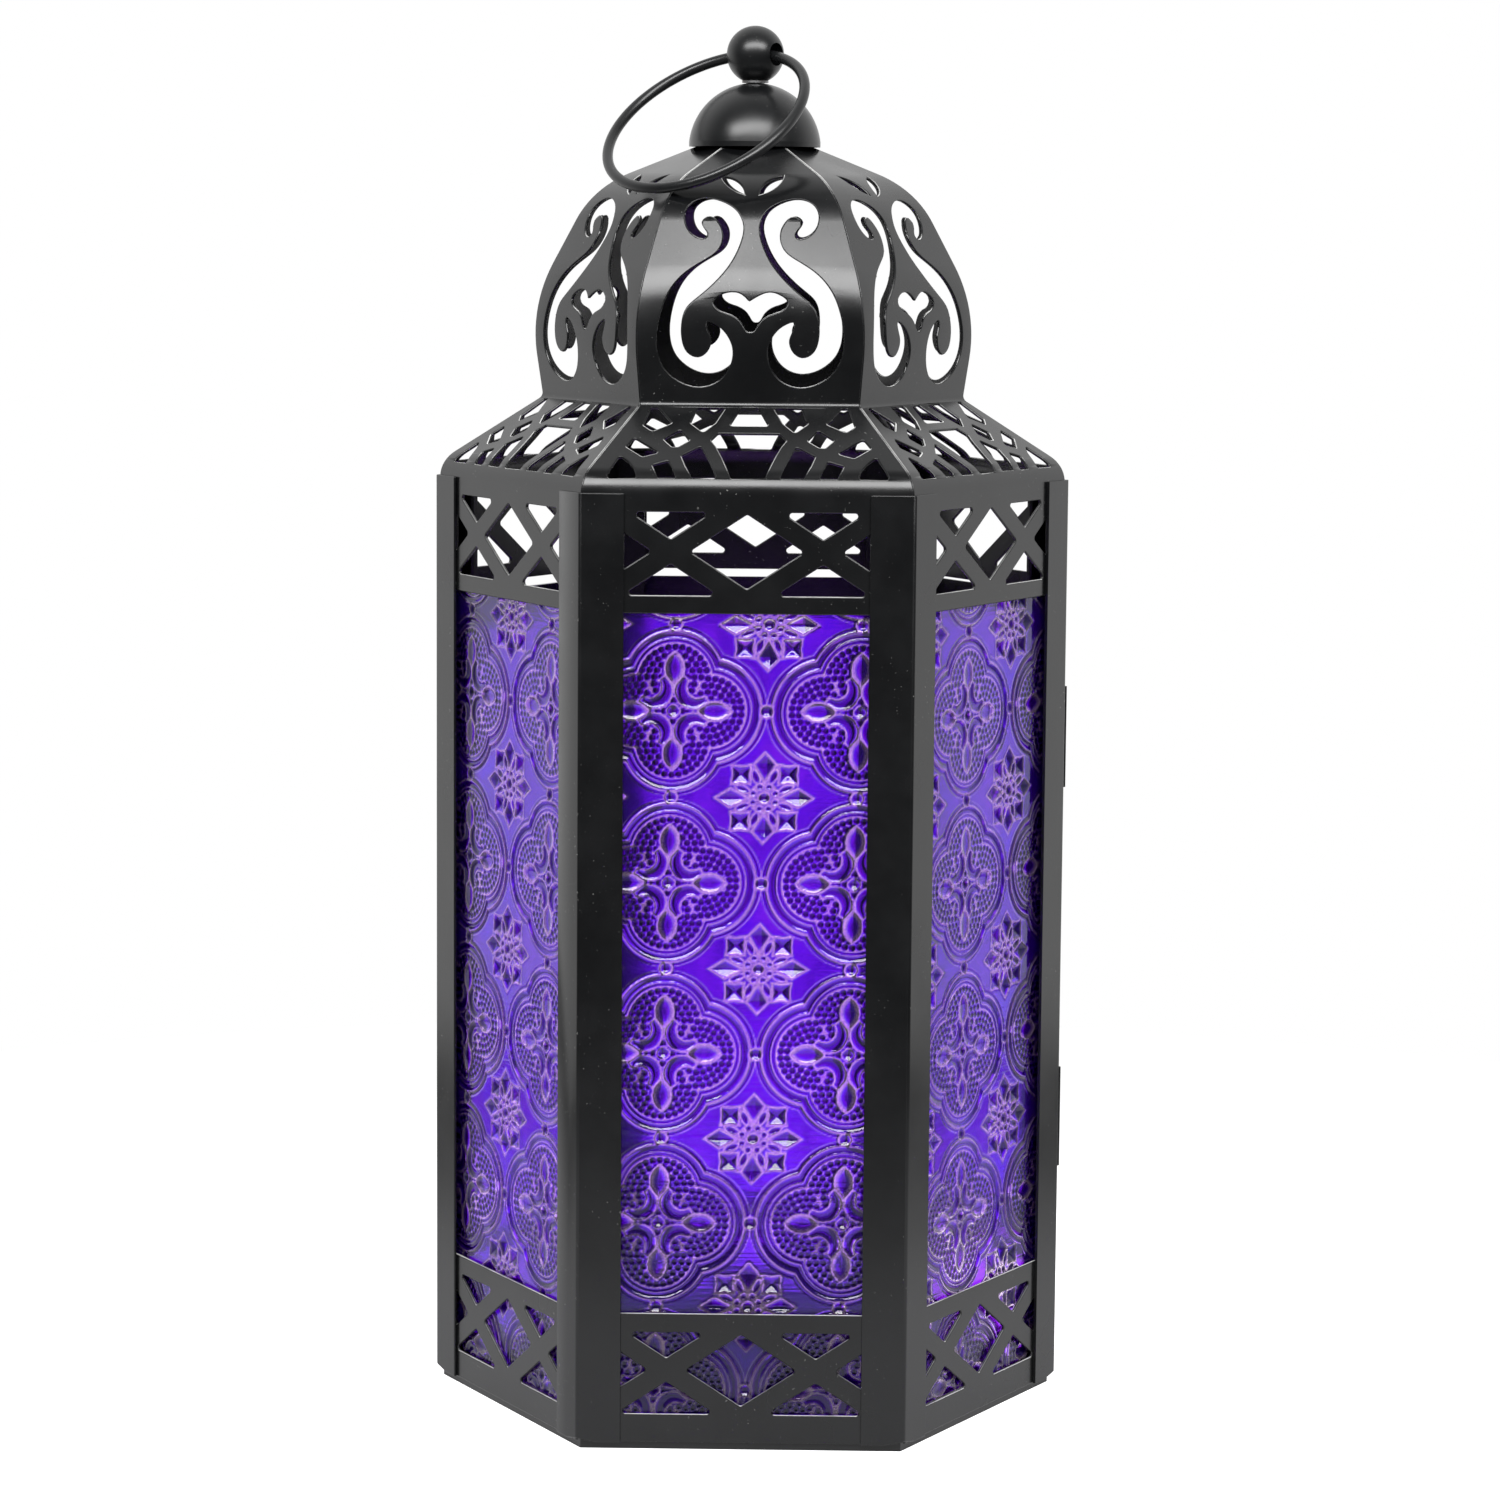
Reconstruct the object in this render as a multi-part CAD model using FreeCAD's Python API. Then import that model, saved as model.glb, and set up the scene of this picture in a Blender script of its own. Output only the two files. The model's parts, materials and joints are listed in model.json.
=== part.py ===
import FreeCAD, Part
import math
import os

# Hexagonal pierced-metal candle lantern.  Millimetres, +Z up, z = 0 under the base tray.
# Every side is modelled facing -Y in side coordinates: u along the side (+X), s the distance
# of a surface from the vertical axis (-Y), z up.  on_side() turns it to its place.

Vec = FreeCAD.Vector
os.makedirs("parts", exist_ok=True)

# ---- driving dimensions -------------------------------------------------------------------
SIDES = 6
SHEET = 0.7                       # sheet metal thickness
GAP = 0.02                        # lap gap between soldered sheets
HALF_TURN = math.radians(180.0 / SIDES)
OUTER_R = 70.0                    # across-corner radius over the corner posts
POST_S = OUTER_R * math.cos(HALF_TURN)
PANEL_S = POST_S - SHEET - GAP    # outer face of the lattice panels and the roof band
GLASS_S = PANEL_S - SHEET - 0.2   # outer face of the fixed panes
GLASS_T = 2.6

TRAY_WALL_TOP = 7.0
TRAY_FLOOR = 0.8
WALL_BOTTOM = 1.6                 # posts and lower panels start here
LOWER_TOP = 29.7                  # top edge of the lower lattice panels
BAND_BOTTOM = 178.9               # bottom edge of the roof sheets
POST_TOP = 204.0
POST_LEG = 9.4
POST_TRIM = (2.35, 0.9)           # reach and height of the snip at the foot of a post's bend

BAR_SLOPE = 0.654                 # rise per run of the lattice bars
BAR_WIDTH = 4.4
CROSS_U = 15.9                    # bars cross at u = +-CROSS_U
WINDOW_HALF = 26.8
LOWER_WINDOW = (7.8, 17.4, 25.6)  # heights of the openings' foot, the bars' crossing, their top
UPPER_WINDOW = (182.7, 191.9, 200.1)

# roof sheet section (s, z) from the band's bottom edge to the tip under the cap
SKIRT_TOP = (40.2, 221.6)         # the crease
ROOF_CORNERS = [(PANEL_S, BAND_BOTTOM), (PANEL_S, 207.1), SKIRT_TOP,
                (42.75, 241.2), (30.7, 267.3), (10.8, 276.5)]
ROOF_RADII = [7.0, 1.6, 37.0, 21.0]

CAP_R = 14.4
CAP_RIM = 276.3
CAP_TOP = 290.2
BALL_R = 6.26
BALL_Z = 296.3
BALL_FLAT = 290.7
CROSS_HOLE_R = 2.5
STEM_R = 2.0
WASHER_TOP = 274.7

RING_R = 23.0                     # centreline radius of the ring handle
RING_WIRE_R = 1.15
RING_YAW = -36.0                  # direction of the ball's cross hole, degrees from +X
RING_LEAN = 50.5                  # at rest, degrees of the ring's plane from hanging straight down

DOOR_SIDE = 2
DOOR_HALF = 25.25
DOOR_Z = (30.3, 178.3)
DOOR_T = 0.65
DOOR_WINDOW_HALF = 19.4
DOOR_GLASS_HALF = 20.9
DOOR_RAIL = 5.8
HINGE_U = -25.4
HINGE_S = POST_S + 1.68
HINGE_LENGTH = 22.6
HINGE_Z = (60.9, 146.8)
KNUCKLE_R = 1.35
PIN_R = 0.7

PANE_HALF = 31.5
PANE_BOTTOM = TRAY_WALL_TOP + 0.1
PANE_TOPS = {0: 181.6, 1: 181.6, 3: 177.3, 4: 177.3, 5: 181.6}

CUP_R = 21.0
CUP_RIVET_R = 1.2
CUP_RIVET_CIRCLE = 12.0
CUP_RIVET_ANGLES = (90, 210, 330)
CUP_RIVETS = [(CUP_RIVET_CIRCLE * math.cos(math.radians(a)),
               CUP_RIVET_CIRCLE * math.sin(math.radians(a))) for a in CUP_RIVET_ANGLES]


# ---- helpers ------------------------------------------------------------------------------
def on_side(shape, side):
    """Turn a shape made for the front side to another side of the hexagon."""
    turned = shape.copy()
    turned.rotate(Vec(0, 0, 0), Vec(0, 0, 1), 360.0 / SIDES * side)
    return turned


def block(u0, u1, s0, s1, z0, z1):
    """Box between two values of u, s and z."""
    return Part.makeBox(u1 - u0, s1 - s0, z1 - z0, Vec(u0, -s1, z0))


def upright_rod(u, s, z0, z1, radius):
    return Part.makeCylinder(radius, z1 - z0, Vec(u, -s, z0), Vec(0, 0, 1))


def cross_rod(u, z, s0, s1, radius):
    """Rod square to the side, from s0 out to s1."""
    return Part.makeCylinder(radius, s1 - s0, Vec(u, -s0, z), Vec(0, -1, 0))


def fuse(shapes):
    return shapes[0].multiFuse(shapes[1:]).removeSplitter()


def polygon_face(points):
    return Part.Face(Part.makePolygon([Vec(*p) for p in points + points[:1]]))


def rounded(face, radius):
    """Round the outward corners of a flat face."""
    shrunk = face.makeOffset2D(-radius, 2)
    return shrunk.makeOffset2D(radius, 0)


def filleted_path(corners, radii):
    """Edges of an open path in the s-z plane, with an arc at each inner corner."""
    points = [Vec(0, -s, z) for s, z in corners]
    edges = []
    start = points[0]
    for before, corner, after, radius in zip(points, points[1:], points[2:], radii):
        into = (corner - before).normalize()
        out = (after - corner).normalize()
        turn = into.getAngle(out)
        reach = radius * math.tan(turn / 2)
        arc_start = corner - into * reach
        arc_end = corner + out * reach
        towards_centre = (out - into).normalize()
        centre_distance = radius / math.cos(turn / 2)
        middle = corner + towards_centre * (centre_distance - radius)
        edges.append(Part.LineSegment(start, arc_start).toShape())
        edges.append(Part.Arc(arc_start, middle, arc_end).toShape())
        start = arc_end
    edges.append(Part.LineSegment(start, points[-1]).toShape())
    return edges


def inset_path(corners, radii, depth):
    """The same path moved towards the axis by depth, keeping its arcs concentric."""
    lines = []
    for (s0, z0), (s1, z1) in zip(corners, corners[1:]):
        length = math.hypot(s1 - s0, z1 - z0)
        direction = ((s1 - s0) / length, (z1 - z0) / length)
        inward = (-direction[1] * depth, direction[0] * depth)
        lines.append(((s0 + inward[0], z0 + inward[1]), direction))
    moved = [lines[0][0]]
    moved_radii = []
    for (p, d), (q, e), radius in zip(lines, lines[1:], radii):
        cross = d[0] * e[1] - d[1] * e[0]
        along = ((q[0] - p[0]) * e[1] - (q[1] - p[1]) * e[0]) / cross
        moved.append((p[0] + d[0] * along, p[1] + d[1] * along))
        moved_radii.append(radius - depth if cross > 0 else radius + depth)
    last_point, last_direction = lines[-1]
    length = math.dist(corners[-2], corners[-1])
    moved.append((last_point[0] + last_direction[0] * length,
                  last_point[1] + last_direction[1] * length))
    return moved, moved_radii


# ---- pierced patterns ---------------------------------------------------------------------
def lattice_voids(window):
    """Diamond and triangle openings of a lattice strip, as cutters through the side."""
    foot, crossing, top = window
    half_bar = BAR_WIDTH / 2 / math.cos(math.atan(BAR_SLOPE))
    half_bar_run = half_bar / BAR_SLOPE
    rise = CROSS_U * BAR_SLOPE - half_bar
    diamond = [(-CROSS_U + half_bar_run, 0), (0, rise), (CROSS_U - half_bar_run, 0), (0, -rise)]
    outlines = [diamond]
    for hand in (-1, 1):
        edge_rise = (WINDOW_HALF - CROSS_U) * BAR_SLOPE - half_bar
        outlines.append([(hand * (CROSS_U + half_bar_run), 0),
                         (hand * WINDOW_HALF, edge_rise),
                         (hand * WINDOW_HALF, -edge_rise)])
        for up, limit in ((-1, crossing - foot), (1, top - crossing)):
            run = (limit - half_bar) / BAR_SLOPE
            outlines.append([(hand * CROSS_U, up * half_bar),
                             (hand * CROSS_U + run, up * limit),
                             (hand * CROSS_U - run, up * limit)])
    cutters = []
    for outline in outlines:
        face = polygon_face([(u, -POST_S - 1, crossing + dz) for u, dz in outline])
        cutters.append(rounded(face, 0.6).extrude(Vec(0, 5, 0)))
    return cutters


SKIRT_OPENINGS = [                # (u, distance down the skirt from the crease), right half
    [(5.15, 0.9), (10.95, 0.9), (12.3, 6.1), (9.65, 9.1), (7.2, 6.0)],
    [(19.4, 0.9), (20.8, 0.9), (22.2, 7.0), (20.3, 8.8), (16.3, 6.1)],
    [(14.5, 8.3), (17.85, 11.5), (16.0, 14.0), (14.8, 13.9), (12.4, 11.7)],
    [(24.0, 11.1), (25.6, 14.1), (22.1, 17.3), (18.7, 15.9)],
    [(10.0, 13.7), (13.95, 16.9), (13.0, 20.2), (11.6, 23.6), (6.6, 23.6), (8.2, 18.6)],
    [(16.7, 18.5), (19.95, 20.0), (18.7, 23.6), (14.85, 23.6)],
    [(26.8, 17.0), (29.5, 23.6), (23.1, 23.6), (23.7, 21.3), (24.9, 19.1)],
]
SKIRT_MIDDLE_TOP = [(-1.75, 0.9), (1.75, 0.9), (4.05, 6.9), (-4.05, 6.9)]
SKIRT_MIDDLE_SIDE = [(6.4, 9.45), (7.85, 11.7), (6.75, 13.8), (5.5, 17.2), (4.45, 20.6), (3.5, 23.6)]


def skirt_voids():
    """Openings of the sloping skirt, cut square to it."""
    fall = math.atan2(ROOF_CORNERS[1][1] - SKIRT_TOP[1], ROOF_CORNERS[1][0] - SKIRT_TOP[0])
    down = Vec(0, -math.cos(fall), math.sin(fall))
    normal = Vec(0, math.sin(fall), math.cos(fall))
    crease = Vec(0, -SKIRT_TOP[0], SKIRT_TOP[1])
    outlines = [SKIRT_MIDDLE_TOP]
    outlines.append(SKIRT_MIDDLE_SIDE + [(-u, w) for u, w in reversed(SKIRT_MIDDLE_SIDE)])
    for outline in SKIRT_OPENINGS:
        outlines.append(outline)
        outlines.append([(-u, w) for u, w in outline])
    cutters = []
    for outline in outlines:
        points = [crease + Vec(u, 0, 0) + down * w + normal * 2.0 for u, w in outline]
        face = polygon_face([tuple(p) for p in points])
        cutters.append(rounded(face, 0.5).extrude(normal * -7.0))
    return cutters


# (u, z) of the S-shaped scroll of the right half of a petal: up its outer edge, round the
# top hook, down the inner edge and round the bottom hook
SCROLL = [(10.3, 256.5), (12.9, 257.8), (14.1, 260.2), (13.8, 262.7), (11.9, 264.4),
          (9.3, 264.9), (6.2, 264.2), (3.2, 262.3), (1.8, 259.4), (2.4, 255.5),
          (4.4, 251.4), (7.6, 247.5), (11.2, 244.3), (13.6, 242.0), (14.6, 238.6),
          (14.5, 235.4), (13.3, 232.6), (11.0, 231.6), (9.0, 232.8), (8.2, 235.3),
          (9.1, 237.9), (9.1, 239.0), (7.9, 238.75), (5.4, 236.9), (3.85, 233.9),
          (4.2, 230.0), (6.7, 226.7), (10.8, 225.4), (15.0, 226.6), (18.4, 229.7),
          (19.75, 234.4), (19.2, 239.8), (17.1, 245.5), (13.6, 249.5), (9.7, 252.0),
          (7.0, 254.1), (6.0, 257.3), (7.1, 260.1), (8.9, 261.25), (10.55, 260.1),
          (9.9, 258.4), (9.35, 257.3)]
# (u, z) of the bird-shaped opening, right half, from the notch down to the lower point
BIRD = [(0.0, 243.5), (1.1, 244.2), (3.9, 245.3), (6.4, 244.65), (7.8, 243.2),
        (7.0, 241.9), (4.3, 240.75), (1.5, 238.45), (0.5, 237.1)]
LEAF_ENDS = [(1.6, -29.9, 265.7), (6.6, -24.9, 270.1)]
LEAF_BULGE = 1.3
LEAF_SLOPE = math.radians(35)


def petal_voids():
    """Scrolls, bird and leaves of a petal."""
    cutters = []
    deep = Vec(0, 24, 0)
    for hand in (-1, 1):
        curve = Part.BSplineCurve()
        curve.interpolate([Vec(hand * u, -50, z) for u, z in SCROLL], PeriodicFlag=True)
        cutters.append(Part.Face(Part.Wire(curve.toShape())).extrude(deep))
        cutters.append(leaf_void(hand))
    outline = BIRD + [(-u, z) for u, z in reversed(BIRD[1:])]
    curve = Part.BSplineCurve()
    curve.interpolate([Vec(u, -50, z) for u, z in outline], PeriodicFlag=True)
    cutters.append(Part.Face(Part.Wire(curve.toShape())).extrude(deep))
    return cutters


def leaf_void(hand):
    """One pointed leaf, two arcs between its ends, cut square to the sheet there."""
    first, last = [Vec(hand * p[0], p[1], p[2]) for p in LEAF_ENDS]
    normal = Vec(0, -math.sin(LEAF_SLOPE), math.cos(LEAF_SLOPE))
    along = last - first
    across = normal.cross(along).normalize() * LEAF_BULGE
    middle = (first + last) * 0.5
    arcs = [Part.Arc(first, middle + across, last).toShape(),
            Part.Arc(last, middle - across, first).toShape()]
    face = Part.Face(Part.Wire(arcs))
    face.translate(normal * 2.5)
    return face.extrude(normal * -6.0)


# ---- body ---------------------------------------------------------------------------------
def hexagon(circumradius, z):
    corners = []
    for i in range(SIDES):
        angle = 2 * HALF_TURN * i
        corners.append((circumradius * math.cos(angle), circumradius * math.sin(angle), z))
    return polygon_face(corners)


def base_tray():
    outer_r = (PANEL_S - SHEET - 0.05) / math.cos(HALF_TURN)
    inner_r = outer_r - SHEET / math.cos(HALF_TURN)
    tray = hexagon(outer_r, 0).extrude(Vec(0, 0, TRAY_WALL_TOP))
    tray = tray.cut(hexagon(inner_r, TRAY_FLOOR).extrude(Vec(0, 0, TRAY_WALL_TOP)))
    return tray.cut(cup_rivet_holes())


def cup_rivet_holes():
    return [Part.makeCylinder(CUP_RIVET_R + 0.03, 4, Vec(x, y, -1)) for x, y in CUP_RIVETS]


def candle_cup():
    """Spun cup with a small lip, riveted to the tray floor."""
    floor = TRAY_FLOOR + GAP
    t = 0.6
    section = [(0, floor), (CUP_R - 0.6, floor), (CUP_R, floor + 0.6), (CUP_R, floor + 11.4),
               (CUP_R + 1.6, floor + 12.0), (CUP_R + 1.6, floor + 12.6), (CUP_R - t, floor + 11.9),
               (CUP_R - t, floor + 1.0), (CUP_R - 1.0, floor + t), (0, floor + t)]
    cup = polygon_face([(r, 0, z) for r, z in section]).revolve(Vec(0, 0, 0), Vec(0, 0, 1), 360)
    return cup.cut(cup_rivet_holes())


def cup_rivets():
    """Round-headed rivets, their tails flush inside the tray's underside."""
    head_z = TRAY_FLOOR + GAP + 0.6 + GAP
    made = []
    for x, y in CUP_RIVETS:
        shank = Part.makeCylinder(CUP_RIVET_R, head_z + 0.25, Vec(x, y, 0.05))
        head = Part.makeSphere(3.2, Vec(x, y, head_z - 2.3))
        head = head.common(Part.makeCylinder(4, 3, Vec(x, y, head_z)))
        made.append(shank.fuse(head).removeSplitter())
    return Part.makeCompound(made)


def corner_strip(outer_s, leg, z0, z1, bend_r):
    """V-shaped strip over the corner on +X."""
    tip = outer_s / math.cos(HALF_TURN)
    inner_tip = (outer_s - SHEET) / math.cos(HALF_TURN)
    leg_x = tip - leg * math.sin(HALF_TURN)
    leg_y = leg * math.cos(HALF_TURN)
    inset_x = leg_x - SHEET * math.cos(HALF_TURN)
    inset_y = leg_y - SHEET * math.sin(HALF_TURN)
    outline = [(leg_x, leg_y, z0), (tip, 0, z0), (leg_x, -leg_y, z0),
               (inset_x, -inset_y, z0), (inner_tip, 0, z0), (inset_x, inset_y, z0)]
    strip = polygon_face(outline).extrude(Vec(0, 0, z1 - z0))
    bend = [e for e in strip.Edges if abs(e.CenterOfMass.y) < 1e-6 and e.CenterOfMass.x > tip - 0.1]
    return strip.makeFillet(bend_r, bend)


def corner_post():
    post = corner_strip(POST_S, POST_LEG, WALL_BOTTOM, POST_TOP, 0.9)
    reach, height = POST_TRIM
    snip = polygon_face([(OUTER_R - reach, -POST_LEG, WALL_BOTTOM),
                         (OUTER_R + reach, -POST_LEG, WALL_BOTTOM + 2 * height),
                         (OUTER_R + reach, -POST_LEG, WALL_BOTTOM - 1)])
    return post.cut(snip.extrude(Vec(0, 2 * POST_LEG, 0)))


def pane_retainer():
    return corner_strip(GLASS_S - GLASS_T - 0.05, 6.6, TRAY_FLOOR + GAP, 206.0, 0.5)


def lower_lattice():
    panel = block(-33.5, 33.5, PANEL_S - SHEET, PANEL_S, WALL_BOTTOM, LOWER_TOP)
    return panel.cut(lattice_voids(LOWER_WINDOW))


def roof_petal():
    """One roof sheet: lattice band, shoulder, skirt, crease and petal, mitred at both seams."""
    inner_corners, inner_radii = inset_path(ROOF_CORNERS, ROOF_RADII, SHEET)
    outer = filleted_path(ROOF_CORNERS, ROOF_RADII)
    inner = filleted_path(inner_corners, inner_radii)
    ends = [Part.LineSegment(Vec(0, -ROOF_CORNERS[i][0], ROOF_CORNERS[i][1]),
                             Vec(0, -inner_corners[i][0], inner_corners[i][1])).toShape()
            for i in (0, -1)]
    wire = Part.Wire(Part.__sortEdges__(outer + inner + ends))
    section = Part.Face(wire)
    section.translate(Vec(-40, 0, 0))
    sheet = section.extrude(Vec(80, 0, 0))
    reach = 64.0
    spread = reach * math.tan(HALF_TURN)
    wedge = polygon_face([(0, 0, 170), (-spread, -reach, 170), (spread, -reach, 170)])
    sheet = sheet.common(wedge.extrude(Vec(0, 0, 130)))
    return sheet.cut(lattice_voids(UPPER_WINDOW) + skirt_voids() + petal_voids())


def glass_pane(top):
    return block(-PANE_HALF, PANE_HALF, GLASS_S - GLASS_T, GLASS_S, PANE_BOTTOM, top)


# ---- roof top -----------------------------------------------------------------------------
def roof_cap():
    """Small dome with a straight rim and a hole for the stem."""
    dome_foot = CAP_RIM + 1.1
    dome_r = (CAP_R ** 2 + (CAP_TOP - dome_foot) ** 2) / (2 * (CAP_TOP - dome_foot))
    centre = CAP_TOP - dome_r
    inner_r = dome_r - SHEET
    hole = STEM_R + 0.1
    reach = CAP_R - SHEET

    def on_dome(radius, r):
        return Vec(r, 0, centre + math.sqrt(radius ** 2 - r ** 2))

    outer = Part.Arc(on_dome(dome_r, CAP_R), on_dome(dome_r, CAP_R * 0.6), on_dome(dome_r, hole))
    inner = Part.Arc(on_dome(inner_r, hole), on_dome(inner_r, reach * 0.6), on_dome(inner_r, reach))
    straight = [(on_dome(dome_r, hole), on_dome(inner_r, hole)),
                (on_dome(inner_r, reach), Vec(reach, 0, CAP_RIM)),
                (Vec(reach, 0, CAP_RIM), Vec(CAP_R, 0, CAP_RIM)),
                (Vec(CAP_R, 0, CAP_RIM), on_dome(dome_r, CAP_R))]
    edges = [outer.toShape(), inner.toShape()]
    edges += [Part.LineSegment(a, b).toShape() for a, b in straight]
    section = Part.Face(Part.Wire(Part.__sortEdges__(edges)))
    return section.revolve(Vec(0, 0, 0), Vec(0, 0, 1), 360)


def ring_axis():
    yaw = math.radians(RING_YAW)
    return Vec(math.cos(yaw), math.sin(yaw), 0)


def finial_ball():
    ball = Part.makeSphere(BALL_R, Vec(0, 0, BALL_Z))
    ball = ball.cut(Part.makeCylinder(BALL_R, 5, Vec(0, 0, BALL_FLAT - 5)))
    hole = Part.makeCylinder(CROSS_HOLE_R, 20, Vec(0, 0, BALL_Z) - ring_axis() * 10, ring_axis())
    socket = Part.makeCylinder(STEM_R + 0.05, 2.6, Vec(0, 0, BALL_FLAT))
    return ball.cut([hole, socket])


def finial_stem():
    rod = Part.makeCylinder(STEM_R, 23.6, Vec(0, 0, 269.6))
    collar = Part.makeCylinder(2.9, BALL_FLAT - GAP - CAP_TOP, Vec(0, 0, CAP_TOP))
    return rod.fuse(collar).removeSplitter()


def roof_washer():
    disc = Part.makeCylinder(13.0, 1.2, Vec(0, 0, WASHER_TOP - 1.2))
    return disc.cut(Part.makeCylinder(STEM_R + 0.1, 3, Vec(0, 0, WASHER_TOP - 2)))


def stem_nut():
    nut = hexagon(4.05, WASHER_TOP - 1.2 - 3.2).extrude(Vec(0, 0, 3.2 - GAP))
    return nut.cut(Part.makeCylinder(STEM_R + 0.02, 6, Vec(0, 0, WASHER_TOP - 6)))


def ring_handle():
    axis = ring_axis()
    lean = math.radians(RING_LEAN)
    flat = Vec(axis.y, -axis.x, 0)
    to_centre = flat * math.sin(lean) - Vec(0, 0, math.cos(lean))
    centre = Vec(0, 0, BALL_Z) + to_centre * RING_R
    return Part.makeTorus(RING_R, RING_WIRE_R, centre, axis.cross(to_centre))


# ---- door ---------------------------------------------------------------------------------
FRAME_S = POST_S - DOOR_T
LEAF_S = (POST_S + 0.01, POST_S + 0.7)
DOOR_RIVET_U = -22.4
POST_RIVET_U = -30.6
RIVET_SPREAD = 6.0
RIVET_R = 0.6
KNOB_U = 22.4
KNOB_Z = 104.3
CATCH_U = 29.4
CATCH_Z = (45.0, 123.0, 165.0)


def hinge_rivet_places(u):
    return [(u, z + dz) for z in HINGE_Z for dz in (-RIVET_SPREAD, RIVET_SPREAD)]


def catch_rivet_places():
    return [(CATCH_U, z + dz) for z in CATCH_Z for dz in (-2.0, 2.0)]


def holes(places, s0, s1, radius):
    return [cross_rod(u, z, s0, s1, radius) for u, z in places]


def door_frame():
    z0, z1 = DOOR_Z
    frame = block(-DOOR_HALF, DOOR_HALF, FRAME_S, POST_S, z0, z1)
    opening = polygon_face([(-DOOR_WINDOW_HALF, -POST_S - 1, z0 + DOOR_RAIL),
                            (DOOR_WINDOW_HALF, -POST_S - 1, z0 + DOOR_RAIL),
                            (DOOR_WINDOW_HALF, -POST_S - 1, z1 - DOOR_RAIL),
                            (-DOOR_WINDOW_HALF, -POST_S - 1, z1 - DOOR_RAIL)])
    cutters = [rounded(opening, 1.0).extrude(Vec(0, 5, 0))]
    cutters += holes(hinge_rivet_places(DOOR_RIVET_U), FRAME_S - 1, POST_S + 1, RIVET_R + 0.02)
    cutters += holes([(KNOB_U, KNOB_Z)], FRAME_S - 1, POST_S + 1, 1.02)
    return frame.cut(cutters)


def door_glass():
    z0, z1 = DOOR_Z
    rail = DOOR_RAIL - 1.5
    return block(-DOOR_GLASS_HALF, DOOR_GLASS_HALF, FRAME_S - 0.05 - GLASS_T, FRAME_S - 0.05,
                 z0 + rail, z1 - rail)


def door_clips():
    """Bent tabs soldered to the frame that hold the pane, two at each side."""
    back = FRAME_S - 0.05 - GLASS_T - 0.05
    clips = []
    for hand in (-1, 1):
        for z in (88.0, 116.0):
            wall = DOOR_GLASS_HALF + 0.15
            foot = block(wall, wall + 1.9, FRAME_S - 0.5, FRAME_S - 0.01, z - 4, z + 4)
            web = block(wall, wall + 0.5, back - 0.5, FRAME_S - 0.01, z - 4, z + 4)
            lip = block(wall - 1.3, wall + 0.5, back - 0.5, back, z - 4, z + 4)
            clip = fuse([foot, web, lip])
            if hand < 0:
                clip = clip.mirror(Vec(0, 0, 0), Vec(1, 0, 0))
            clips.append(clip)
    return Part.makeCompound(clips)


def knuckle(z0, z1, bore_r):
    barrel = upright_rod(HINGE_U, HINGE_S, z0, z1, KNUCKLE_R)
    return barrel, upright_rod(HINGE_U, HINGE_S, z0 - 1, z1 + 1, bore_r)


def hinge_thirds(z):
    start = z - HINGE_LENGTH / 2
    third = HINGE_LENGTH / 3
    return [(start + i * third, start + (i + 1) * third) for i in range(3)]


def post_leaf(z):
    """Hinge leaf on the corner post, with the outer two knuckles."""
    low, middle, high = hinge_thirds(z)
    s0, s1 = LEAF_S
    solids = [block(-34.4, HINGE_U - 1.7, s0, s1, low[0], high[1])]
    bores = []
    for z0, z1 in (low, high):
        barrel, bore = knuckle(z0, z1, PIN_R + GAP)
        solids += [block(HINGE_U - 1.8, HINGE_U - 0.4, s0, s1, z0, z1), barrel]
        bores.append(bore)
    places = [(POST_RIVET_U, z - RIVET_SPREAD), (POST_RIVET_U, z + RIVET_SPREAD)]
    return fuse(solids).cut(bores + holes(places, s0 - 1, s1 + 1, RIVET_R + 0.02))


def door_leaf(z):
    """Hinge leaf on the door frame, with the middle knuckle."""
    low, middle, high = hinge_thirds(z)
    s0, s1 = LEAF_S
    z0, z1 = middle[0] + 0.2, middle[1] - 0.2
    barrel, bore = knuckle(z0, z1, PIN_R + 0.06)
    solids = [block(HINGE_U + 1.7, -19.9, s0, s1, low[0], high[1]),
              block(HINGE_U + 0.4, HINGE_U + 1.8, s0, s1, z0, z1), barrel]
    places = [(DOOR_RIVET_U, z - RIVET_SPREAD), (DOOR_RIVET_U, z + RIVET_SPREAD)]
    return fuse(solids).cut([bore] + holes(places, s0 - 1, s1 + 1, RIVET_R + 0.02))


def hinge_pins():
    pins = []
    for z in HINGE_Z:
        half = HINGE_LENGTH / 2
        shank = upright_rod(HINGE_U, HINGE_S, z - half, z + half + 0.05, PIN_R)
        head = upright_rod(HINGE_U, HINGE_S, z + half + 0.03, z + half + 0.7, KNUCKLE_R - 0.15)
        foot = upright_rod(HINGE_U, HINGE_S, z - half - 0.5, z - half - 0.03, KNUCKLE_R - 0.35)
        neck = upright_rod(HINGE_U, HINGE_S, z - half - 0.4, z - half + 1, PIN_R)
        pins.append(fuse([shank, head, foot, neck]))
    return Part.makeCompound(pins)


def rivets(places, s0, s1):
    """Round-headed rivets through sheets that lie between s0 and s1."""
    made = []
    for u, z in places:
        shank = cross_rod(u, z, s0 - 0.2, s1 + 0.2, RIVET_R)
        inner = Part.makeCone(0.7, 0.95, 0.4, Vec(u, -(s0 - 0.41), z), Vec(0, -1, 0))
        outer = Part.makeCone(1.1, 0.8, 0.45, Vec(u, -(s1 + 0.01), z), Vec(0, -1, 0))
        made.append(fuse([shank, inner, outer]))
    return Part.makeCompound(made)


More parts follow.
